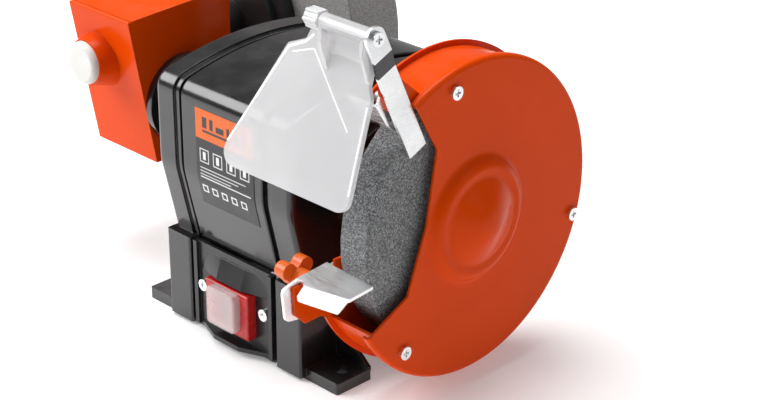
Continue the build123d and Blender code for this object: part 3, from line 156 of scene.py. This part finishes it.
# %% Paint recipe
def paint(name, colour, worn, gloss, peel, edge=0.0006, dust=0.03, glare=0.34, coat=0.12):
    """Sprayed paint: colour clouds, dimpled skin, worn edges and a little dust on top."""
    finish, tree, shader = new_finish(name, Coat_Weight=coat, Coat_Roughness=0.06, Specular_IOR_Level=glare)
    clouds = cloud(tree, 14, 4)
    shade = tint(tree, ramp(tree, clouds, 0.3, 0.7), (*[c * 0.9 for c in colour], 1), (*colour, 1))
    mask, soft = edge_wear_and_highlight(tree, edge)
    bare = tint(tree, calc(tree, "MULTIPLY", mask, 0.7), shade, (*worn, 1))
    facing = node(tree, "ShaderNodeNewGeometry").outputs["Normal"]
    up = node(tree, "ShaderNodeSeparateXYZ", {0: facing}).outputs[2]
    patchy = ramp(tree, cloud(tree, 60, 6), 0.4, 0.7)
    settled = calc(tree, "MULTIPLY", ramp(tree, up, 0.6, 1.0, 0, dust), patchy)
    feed(tree, shader.inputs["Base Color"], tint(tree, settled, bare, (0.5, 0.48, 0.45, 1)))
    smudge = ramp(tree, cloud(tree, 32, 5, rough=0.6), 0.35, 0.75, gloss, gloss + 0.13)
    feed(tree, shader.inputs["Roughness"], calc(tree, "ADD", smudge, calc(tree, "MULTIPLY", settled, 2.0)))
    skin = cloud(tree, 420, 2)
    feed(tree, shader.inputs["Normal"], relief(tree, skin, peel, 0.0004, soft))
    return finish


orange_paint = paint("sprayed_orange", (0.74, 0.062, 0.001), (0.85, 0.22, 0.05), 0.12, 0.10,
                     glare=0.06, coat=0.02)
black_paint = paint("sprayed_black", (0.010, 0.010, 0.011), (0.05, 0.05, 0.052), 0.16, 0.08,
                    edge=0.0008, glare=0.55, coat=0.25)
print("paints:", orange_paint.name, black_paint.name)

# %% [markdown]
# ## Bright zinc and turned steel
# Brackets, screws and nuts are zinc plated: bright, slightly blue, with rolled streaks and fine scratches.
# Turned steel is warmer, with rings around its axis. Both are metals, so the colour sits in the reflection.

# %% Metal recipe
def metal(name, colour, dark, gloss, streak, edge=0.0003):
    """Bare or plated metal with streaks along one axis and fine scratches."""
    finish, tree, shader = new_finish(name, Metallic=1.0)
    streaks = cloud(tree, 90, 6, streak, 0.65)
    patches = cloud(tree, 45, 4)
    shade = tint(tree, ramp(tree, patches, 0.35, 0.7), (*colour, 1), (*dark, 1))
    feed(tree, shader.inputs["Base Color"], shade)
    both = calc(tree, "ADD", calc(tree, "MULTIPLY", streaks, 0.6), calc(tree, "MULTIPLY", patches, 0.4))
    feed(tree, shader.inputs["Roughness"], ramp(tree, both, 0.35, 0.65, gloss, gloss + 0.16))
    feed(tree, shader.inputs["Normal"], relief(tree, streaks, 0.10, 0.0003, soft_normal(tree, edge)))
    return finish


zinc = metal("zinc_plate", (0.88, 0.88, 0.88), (0.76, 0.77, 0.79), 0.2, (1, 1, 14))
rest_zinc = metal("rest_zinc", (0.92, 0.92, 0.92), (0.80, 0.81, 0.82), 0.30, (1, 14, 1))
steel = metal("turned_steel", (0.56, 0.56, 0.57), (0.42, 0.42, 0.43), 0.22, (14, 1, 1))
laminations = metal("laminations", (0.34, 0.35, 0.37), (0.24, 0.25, 0.27), 0.34, (40, 1, 1))
bronze = metal("sintered_bronze", (0.62, 0.40, 0.17), (0.48, 0.30, 0.13), 0.30, (1, 10, 1))
copper = metal("enamelled_wire", (0.62, 0.22, 0.09), (0.42, 0.14, 0.06), 0.24, (1, 30, 30))
print("metals:", zinc.name, steel.name, bronze.name)

# %% [markdown]
# ## Grinding stone
# A stone is grit held by a glassy bond. Close up it is a field of small crystals, each its own grey, with
# dark pores between them. Voronoi cells give the crystals: their random colour sets the grey and their
# borders set the pores.

# %% Stone recipe
def stone(name, low, high, grit, depth):
    """Bonded grit: random grey crystals, dark pores, and a rough pitted relief."""
    finish, tree, shader = new_finish(name)
    shader.inputs["Specular IOR Level"].default_value = 0.35
    crystals = node(tree, "ShaderNodeTexVoronoi", {"Vector": place(tree), "Scale": grit})
    value = node(tree, "ShaderNodeSeparateColor", {0: crystals.outputs["Color"]}).outputs[0]
    finer = node(tree, "ShaderNodeTexVoronoi", {"Vector": place(tree), "Scale": grit * 2.3})
    sparkle = node(tree, "ShaderNodeSeparateColor", {0: finer.outputs["Color"]}).outputs[1]
    grain = calc(tree, "ADD", calc(tree, "MULTIPLY", calc(tree, "POWER", value, 1.5), 0.62),
                 calc(tree, "MULTIPLY", calc(tree, "POWER", sparkle, 2.2), 0.38))
    pores = ramp(tree, cloud(tree, grit * 0.8, 2), 0.30, 0.5, 0.35, 1.0)
    shade = tint(tree, calc(tree, "MULTIPLY", grain, pores), (*low, 1), (*high, 1))
    drift = ramp(tree, cloud(tree, 18, 3), 0.3, 0.7)
    feed(tree, shader.inputs["Base Color"],
         tint(tree, calc(tree, "MULTIPLY", drift, 0.22), shade, (*[c * 0.6 for c in high], 1)))
    feed(tree, shader.inputs["Roughness"], ramp(tree, sparkle, 0.0, 1.0, 0.95, 0.55))
    height = calc(tree, "ADD", calc(tree, "MULTIPLY", grain, 0.6), calc(tree, "MULTIPLY", pores, 0.5))
    feed(tree, shader.inputs["Normal"], relief(tree, height, depth, 0.0007))
    return finish


dry_stone = stone("dry_grit", (0.03, 0.031, 0.033), (0.60, 0.62, 0.63), 1500, 0.7)
wet_stone = stone("wet_grit", (0.16, 0.16, 0.16), (0.58, 0.58, 0.57), 2200, 0.3)
print("stones:", dry_stone.name, wet_stone.name)

# %% [markdown]
# ## Plastics, rubber and paper
# Moulded parts have a faint grain from the mould and a steady sheen. Clear parts need light to pass
# through: the shield is a milky sheet that has gathered haze, and its tube is clearer.

# %% Moulding recipe
def moulding(name, colour, gloss, grain=900, depth=0.06, edge=0.0005, **constant):
    """Moulded plastic or rubber: steady colour, mould grain, smudges."""
    finish, tree, shader = new_finish(name, **constant)
    smear = cloud(tree, 40, 4)
    feed(tree, shader.inputs["Base Color"],
         tint(tree, ramp(tree, smear, 0.3, 0.7), (*[c * 0.88 for c in colour], 1), (*colour, 1)))
    feed(tree, shader.inputs["Roughness"], ramp(tree, smear, 0.3, 0.7, gloss, gloss + 0.1))
    dimples = relief(tree, cloud(tree, grain, 3), depth, 0.0003, soft_normal(tree, edge))
    feed(tree, shader.inputs["Normal"], dimples)
    return finish


black_moulding = moulding("black_moulding", (0.014, 0.014, 0.015), 0.24)
hub_moulding = moulding("hub_moulding", (0.018, 0.018, 0.019), 0.3)
orange_moulding = moulding("orange_moulding", (0.80, 0.13, 0.008), 0.3)
white_moulding = moulding("white_moulding", (0.72, 0.71, 0.68), 0.32)
red_moulding = moulding("red_moulding", (0.52, 0.012, 0.010), 0.18)
dark_red_moulding = moulding("dark_red_moulding", (0.36, 0.008, 0.008), 0.2)
rubber = moulding("rubber", (0.022, 0.022, 0.022), 0.62, 1400, 0.2)
paper = moulding("blotter_paper", (0.50, 0.45, 0.36), 0.8, 1600, 0.3)
clear_cover = moulding("clear_cover", (0.95, 0.95, 0.95), 0.05, 300, 0.02, Alpha=0.30)
clear_knob = moulding("clear_knob", (0.88, 0.89, 0.90), 0.08, 300, 0.04, Alpha=0.62)
print("clear mouldings:", clear_cover.name, clear_knob.name)

# %% [markdown]
# ## Hazy shield
# The shield is one clear moulding, but its flat sheet looks milky and its hinge tube looks clear. The
# distance from the hinge line, worked out from the pin's own place, blends between the two.

# %% Shield finish
pin_low, pin_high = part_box("shield_pin")
hinge_y, hinge_z = (pin_low.y + pin_high.y) / 2, (pin_low.z + pin_high.z) / 2
shield_finish, tree, shader = new_finish("hazy_shield", Coat_Weight=0.3, Coat_Roughness=0.05,
                                         Specular_IOR_Level=0.4)
spot = node(tree, "ShaderNodeSeparateXYZ", {0: place(tree)})
off_y = calc(tree, "SUBTRACT", spot.outputs[1], hinge_y)
off_z = calc(tree, "SUBTRACT", spot.outputs[2], hinge_z)
reach = calc(tree, "SQRT", calc(tree, "ADD", calc(tree, "MULTIPLY", off_y, off_y),
                                calc(tree, "MULTIPLY", off_z, off_z)))
haze = ramp(tree, cloud(tree, 9, 3), 0.3, 0.7)
sheet_part = ramp(tree, reach, 0.010, 0.024)
MILKY, MILKIEST = (0.80, 0.80, 0.815, 1), (0.90, 0.90, 0.91, 1)
feed(tree, shader.inputs["Base Color"], tint(tree, haze, MILKY, MILKIEST))
thick = ramp(tree, haze, 0.0, 1.0, 0.56, 0.63)
feed(tree, shader.inputs["Alpha"], calc(tree, "MULTIPLY", thick, ramp(tree, sheet_part, 0, 1, 0.66, 1.0)))
feed(tree, shader.inputs["Roughness"], ramp(tree, cloud(tree, 70, 6), 0.3, 0.7, 0.12, 0.24))
painted_edge_highlight, soft = edge_wear_and_highlight(tree, 0.0006)
# The shield's sharp edges glow white through emission: a painted highlight on its edges.
feed(tree, shader.inputs["Emission Color"], (1, 1, 1, 1))
feed(tree, shader.inputs["Emission Strength"], calc(tree, "MULTIPLY", painted_edge_highlight, 0.3))
feed(tree, shader.inputs["Normal"], relief(tree, cloud(tree, 30, 2), 0.05, 0.0006, soft))
print("hinge line at", round(hinge_y, 4), round(hinge_z, 4))

# %% [markdown]
# ## Arm with a stepped bend
# The arm is flat zinc strip with a short step near its top. The step is painted dark, a painted reflection
# standing in for the darkness its tilted face mirrors. Its place is found from the height along the arm, so
# the dark stripe stays on the bend.

# %% Arm finish
BEND_LOW, BEND_HIGH = 0.2035, 0.2132
arm_zinc = zinc.copy()
arm_zinc.name = "stepped_zinc"
tree = arm_zinc.node_tree
shader = tree.nodes["Principled BSDF"]
spot = node(tree, "ShaderNodeSeparateXYZ", {0: place(tree)})
ARM_SLOPE = 0.44
level = calc(tree, "SUBTRACT", spot.outputs[2], calc(tree, "MULTIPLY", spot.outputs[1], ARM_SLOPE))
foot_level = BEND_LOW + 0.0643 * ARM_SLOPE
top_level = BEND_HIGH + 0.0688 * ARM_SLOPE
painted_dark_reflection = calc(tree, "MULTIPLY", ramp(tree, level, foot_level - 0.0002, foot_level + 0.0002),
            ramp(tree, level, top_level - 0.0002, top_level + 0.0002, 1, 0))
plated = shader.inputs["Base Color"].links[0].from_socket
plain = node(tree, "ShaderNodeHueSaturation", {"Color": plated, "Value": 0.86}).outputs[0]
# The dark stripe on the bend is a painted dark reflection.
feed(tree, shader.inputs["Base Color"], tint(tree, painted_dark_reflection, plain, (0.055, 0.055, 0.058, 1)))
print("bend from", BEND_LOW, "to", BEND_HIGH)

# %% [markdown]
# ## Printed label
# The foil label is dark grey with an orange block across its top, and plain shapes below. The shapes are
# drawn as boxes in the label's own plane, each one a product of four soft steps, so no picture file is
# needed. They stand for print without being letters.

# %% Label finish
label_low, label_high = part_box("rating_label")
label_w, label_h = label_high.x - label_low.x, label_high.z - label_low.z
label_print, tree, shader = new_finish("label_print", Coat_Weight=0.1, Coat_Roughness=0.1,
                                       Specular_IOR_Level=0.3)
spot = node(tree, "ShaderNodeSeparateXYZ", {0: place(tree)})
across = calc(tree, "DIVIDE", calc(tree, "SUBTRACT", spot.outputs[0], label_low.x), label_w)
upward = calc(tree, "DIVIDE", calc(tree, "SUBTRACT", spot.outputs[2], label_low.z), label_h)


def printed_box(left, right, low, high, soft=0.004):
    """1 inside a box given in fractions of the label, 0 outside."""
    inside = ramp(tree, across, left - soft, left + soft)
    inside = calc(tree, "MULTIPLY", inside, ramp(tree, across, right - soft, right + soft, 1, 0))
    inside = calc(tree, "MULTIPLY", inside, ramp(tree, upward, low - soft, low + soft))
    return calc(tree, "MULTIPLY", inside, ramp(tree, upward, high - soft, high + soft, 1, 0))


def outlined(left, right, low, high, line=0.012):
    """Outline of a box: the box less a smaller one."""
    line_up = line * label_w / label_h
    inner = printed_box(left + line, right - line, low + line_up, high - line_up)
    return calc(tree, "SUBTRACT", printed_box(left, right, low, high), inner)


white_ink = printed_box(0.06, 0.94, 0.300, 0.312)
ICONS = 4
for icon in range(ICONS):
    left = 0.06 + icon * 0.235
    white_ink = calc(tree, "MAXIMUM", white_ink, outlined(left, left + 0.16, 0.46, 0.60))
    white_ink = calc(tree, "MAXIMUM", white_ink, printed_box(left + 0.055, left + 0.105, 0.49, 0.57))
for line in range(3):
    line_low = 0.40 - 0.034 * line
    printed_line = printed_box(0.06, 0.86 - 0.13 * line, line_low, line_low + 0.008)
    white_ink = calc(tree, "MAXIMUM", white_ink, printed_line)
for mark in range(5):
    left = 0.06 + mark * 0.17
    white_ink = calc(tree, "MAXIMUM", white_ink, outlined(left, left + 0.10, 0.14, 0.22, 0.018))
ORANGE_FROM = 0.70
dark_block = printed_box(0.12, 0.88, 0.775, 0.80)
BARS = [(0.12, 0.20, 0.93), (0.25, 0.31, 0.93), (0.36, 0.50, 0.88), (0.55, 0.60, 0.91), (0.66, 0.78, 0.87),
        (0.83, 0.88, 0.91)]
for left, right, high in BARS:
    dark_block = calc(tree, "MAXIMUM", dark_block, printed_box(left, right, 0.82, high))
FOIL_GREY, INK_ORANGE = (0.022, 0.023, 0.025, 1), (0.74, 0.125, 0.005, 1)
ground = tint(tree, ramp(tree, upward, ORANGE_FROM - 0.003, ORANGE_FROM + 0.003), FOIL_GREY, INK_ORANGE)
ground = tint(tree, dark_block, ground, (0.03, 0.025, 0.025, 1))
feed(tree, shader.inputs["Base Color"], tint(tree, white_ink, ground, (0.78, 0.78, 0.78, 1)))
feed(tree, shader.inputs["Roughness"], ramp(tree, cloud(tree, 60, 4), 0.3, 0.7, 0.24, 0.38))
feed(tree, shader.inputs["Normal"], relief(tree, white_ink, 0.05, 0.0001))
print("label is", round(label_w * 1000), "by", round(label_h * 1000), "mm")

# %% [markdown]
# ## Hand each piece its finish
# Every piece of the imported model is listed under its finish. A loop clears what it came with and gives it
# the new one.

# %% Finishes on the pieces
FINISHES = {
    orange_paint: ["guard_back_plate", "guard_band", "guard_cover", "gearbox_housing", "gearbox_front"],
    black_paint: ["right_end_bell", "left_end_bell", "motor_cover", "base_plate", "gearbox_neck",
                  "guard_spacer"],
    black_moulding: ["switch_panel", "rear_panel", "water_tray"],
    hub_moulding: ["wet_wheel_hub", "wet_wheel_flange"],
    orange_moulding: ["rest_wing_knob"],
    white_moulding: ["boss_cap", "run_capacitor"],
    red_moulding: ["switch_body", "stop_button"],
    dark_red_moulding: ["start_button"],
    clear_cover: ["switch_cover"],
    clear_knob: ["shield_knob"],
    shield_finish: ["eye_shield"],
    label_print: ["rating_label"],
    rubber: ["rubber_pads", "cable_gland"],
    paper: ["wheel_papers"],
    zinc: ["panel_screws", "guard_cover_screws", "guard_screws", "neck_bolts", "bracket_screws",
           "inner_flange", "outer_flange", "dry_wheel_nut", "wet_wheel_nut", "shield_pin", "star_washer",
           "arm_nut", "spark_arrester", "tray_bracket", "rest_bolt"],
    rest_zinc: ["tool_rest"],
    arm_zinc: ["shield_arm"],
    steel: ["motor_shaft", "output_shaft", "worm", "bearing_left", "bearing_right"],
    laminations: ["stator_core", "rotor_core", "motor_barrel"],
    bronze: ["worm_wheel", "shaft_bushes"],
    copper: ["stator_windings"],
    dry_stone: ["dry_wheel"],
    wet_stone: ["wet_wheel"],
}
done = []
for finish, names in FINISHES.items():
    for name in names:
        parts[name].data.materials.clear()
        parts[name].data.materials.append(finish)
        done.append(name)
print("finished:", len(done), "left out:", sorted(set(parts) - set(done)))

# %% [markdown]
# ## Crumbly rims
# A turned cylinder is too clean for a stone. Each wheel is swept again round its own axis as a fine ring of
# points, and noise pulls every point in a little, so the corners crumble and the running face is uneven.

# %% Wheels
CRUMBLE_FROM = 0.03
WHEEL_GRIT = 900


def swept_wheel(name, body, centre, along, outline, steps, grit, depth):
    """Ring swept round an axis; outline holds (distance along, radius); noise pulls the points inward."""
    along = Vector(along)
    first = Vector((0, 0, 1))
    second = along.cross(first)
    points, faces = [], []
    for step in range(steps):
        turn = 2 * pi * step / steps
        out = first * cos(turn) + second * sin(turn)
        for distance, radius in outline:
            point = Vector(centre) + along * distance + out * radius
            coarse = 0.5 + 0.5 * noise.noise(point * grit)
            fine = 0.6 * abs(noise.noise(point * grit * 3.1))
            points.append(point - out * depth * (coarse + fine) * (radius > CRUMBLE_FROM))
    count = len(outline)
    for step in range(steps):
        here, there = step * count, (step + 1) % steps * count
        for k in range(count):
            after = (k + 1) % count
            faces.append((here + k, here + after, there + after, there + k))
    mesh = bpy.data.meshes.new(name)
    mesh.from_pydata(points, [], faces)
    mesh.update()
    tidy = bmesh.new()
    tidy.from_mesh(mesh)
    bmesh.ops.recalc_face_normals(tidy, faces=tidy.faces)
    tidy.to_mesh(mesh)
    tidy.free()
    made = bpy.data.objects.new(name, mesh)
    bpy.context.scene.collection.objects.link(made)
    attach(made, body)
    return made


def wheel_outline(half, outer, bore, corner):
    """Closed outline of a plain wheel with broken corners, as (distance along, radius)."""
    rise = [outer - corner - (outer - corner - bore) * k / 24 for k in range(25)]
    across = [-half + corner + (2 * half - 2 * corner) * k / 16 for k in range(17)]
    left = [(-half, r) for r in reversed(rise)]
    return left + [(x, outer) for x in across] + [(half, r) for r in rise]


WHEELS = [("dry_wheel", "rotor", (1, 0, 0), 0.00635, dry_stone, 260, 0.0004),
          ("wet_wheel", "wet_drive", (0, 1, 0), 0.010, wet_stone, 320, 0.0002)]
for name, body, along, bore, finish, steps, depth in WHEELS:
    low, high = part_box(name)
    centre = (low + high) / 2
    half = (high - low).dot(Vector(along)) / 2
    outer = (high.z - low.z) / 2
    outline = wheel_outline(half, outer, bore, 0.0008)
    wheel = swept_wheel(name + "_stone", body, centre, along, outline, steps, WHEEL_GRIT, depth)
    wheel.data.materials.append(finish)
    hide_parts(name)
    print(name, "points:", len(wheel.data.vertices))

# %% [markdown]
# ## Moulded beads of the shield
# The sheet has a raised bead along its left and upper edges and a crease across it, all moulded in. Each
# bead is a thin bar with a rounded back that lies on the front of the sheet.

# %% Beads
SHEET_LEAN = radians(16.8)
sheet_up = Vector((0, sin(SHEET_LEAN), cos(SHEET_LEAN)))
sheet_out = Vector((0, -cos(SHEET_LEAN), sin(SHEET_LEAN)))
SUNK = 0.0002
sheet_origin = Vector((0, hinge_y + 0.0038, hinge_z - 0.017)) + sheet_out * 0.0012


def on_sheet(x, rise):
    """Point on the front of the sheet, in mm across the machine and up the sheet."""
    return sheet_origin + Vector((x / 1000, 0, 0)) + sheet_up * (rise / 1000)


def bead(mesh, start, end, width, height):
    """Adds one bead with a rounded back between two points of the sheet."""
    run = (end - start).normalized()
    across = run.cross(sheet_out).normalized()
    rings = []
    for point in (start, end):
        ring = []
        for k in range(7):
            turn = pi * k / 6
            back = sheet_out * (sin(turn) * height - SUNK)
            ring.append(mesh.verts.new(point + across * cos(turn) * width / 2 + back))
        rings.append(ring)
    for k in range(6):
        mesh.faces.new((rings[0][k], rings[0][k + 1], rings[1][k + 1], rings[1][k]))
    for ring in rings:
        mesh.faces.new(ring)
    mesh.faces.new((rings[0][0], rings[0][6], rings[1][6], rings[1][0]))


beads = bmesh.new()
EDGE_LINE = [(30.0, -63.5), (60.6, -4.6), (71.6, 0.8), (76.5, 5.6)]
for (x0, up0), (x1, up1) in zip(EDGE_LINE, EDGE_LINE[1:]):
    bead(beads, on_sheet(x0, up0), on_sheet(x1, up1), 0.0016, 0.0007)
bead(beads, on_sheet(64.0, -6.5), on_sheet(78.0, -1.5), 0.0008, 0.0004)
bead(beads, on_sheet(78.5, -1.5), on_sheet(112.6, -35.7), 0.0009, 0.0004)
bead(beads, on_sheet(122.2, -20.0), on_sheet(122.2, -66.0), 0.0014, 0.0006)
bmesh.ops.recalc_face_normals(beads, faces=beads.faces)
bead_mesh = bpy.data.meshes.new("shield_beads")
beads.to_mesh(bead_mesh)
beads.free()
# The beads glow faintly white through emission: a painted highlight along them.
glowing_bead_finish, tree, shader = new_finish("clear_bead_painted_glow", Roughness=0.08, Emission_Color=(1, 1, 1, 1),
                                       Emission_Strength=0.25)
feed(tree, shader.inputs["Base Color"],
     tint(tree, cloud(tree, 60), (0.86, 0.86, 0.87, 1), (0.95, 0.95, 0.95, 1)))
bead_mesh.materials.append(glowing_bead_finish)
shield_beads = bpy.data.objects.new("shield_beads", bead_mesh)
bpy.context.scene.collection.objects.link(shield_beads)
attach(shield_beads, "shield")
print("bead faces:", len(bead_mesh.polygons))

# %% [markdown]
# ## Studio
# A wide pale floor runs out past the view. Two large soft boxes light the machine from the front left and
# from above, and a weaker one lifts the side that faces away. Large lights make the broad soft reflections
# that gloss paint shows.

# %% Floor
floor_mesh = bpy.data.meshes.new("floor")
REACH = 6.0
corners = [(-REACH, -REACH, 0), (REACH, -REACH, 0), (REACH, REACH, 0), (-REACH, REACH, 0)]
floor_mesh.from_pydata(corners, [], [(0, 1, 2, 3)])
floor = bpy.data.objects.new("floor", floor_mesh)
bpy.context.scene.collection.objects.link(floor)
floor_finish, tree, shader = new_finish("pale_floor", Base_Color=(0.92, 0.92, 0.92, 1), Roughness=0.6,
                                       Emission_Color=(1, 1, 1, 1), Emission_Strength=0.22)
floor_mesh.materials.append(floor_finish)
print("floor reaches", REACH, "m")


# %% Soft boxes
def soft_box(name, spot, aim, width, height, power):
    """A rectangular light that looks at a point."""
    lamp = bpy.data.lights.new(name, "AREA")
    lamp.shape = "RECTANGLE"
    lamp.size, lamp.size_y, lamp.energy = width, height, power
    holder = bpy.data.objects.new(name, lamp)
    holder.location = spot
    holder.rotation_euler = (Vector(aim) - Vector(spot)).to_track_quat("-Z", "Y").to_euler()
    bpy.context.scene.collection.objects.link(holder)
    return holder


MIDDLE = (0.0, 0.0, 0.12)
soft_box("front_left_box", (-1.35, -1.1, 1.25), MIDDLE, 1.4, 1.2, 38)
soft_box("top_box", (-0.3, 0.2, 1.8), MIDDLE, 1.3, 1.0, 32)
soft_box("right_box", (1.6, 0.5, 0.9), MIDDLE, 0.7, 1.2, 1.5)
world = bpy.data.worlds.new("studio")
world.use_nodes = True
world.node_tree.nodes["Background"].inputs["Color"].default_value = (1, 1, 1, 1)
world.node_tree.nodes["Background"].inputs["Strength"].default_value = 0.2
bpy.context.scene.world = world
bpy.context.scene.view_settings.view_transform = "Standard"
print("soft boxes: 3")

# %% [markdown]
# ## Camera
# The camera stands to the front right and a little above, with a long lens, which keeps the machine's lines
# calm.

# %% Place the camera
EYE = Vector((0.7371, -0.6813, 0.5395))
TURN, LIFT, ROLL = radians(44.76), radians(24.97), radians(0.37)
look = Vector((-sin(TURN) * cos(LIFT), cos(TURN) * cos(LIFT), -sin(LIFT)))
side = look.cross(Vector((0, 0, 1))).normalized()
over = side.cross(look)
turned_side = side * cos(ROLL) + over * sin(ROLL)
turned_over = over * cos(ROLL) - side * sin(ROLL)
lens = bpy.data.cameras.new("camera")
lens.lens, lens.sensor_width = 87.34, 36.0
lens.clip_start = 0.02
camera = bpy.data.objects.new("camera", lens)
facing = Matrix((turned_side, turned_over, -look)).transposed().to_4x4()
camera.matrix_world = Matrix.Translation(EYE) @ facing
bpy.context.scene.collection.objects.link(camera)
bpy.context.scene.camera = camera
print("camera at", [round(v, 3) for v in EYE])
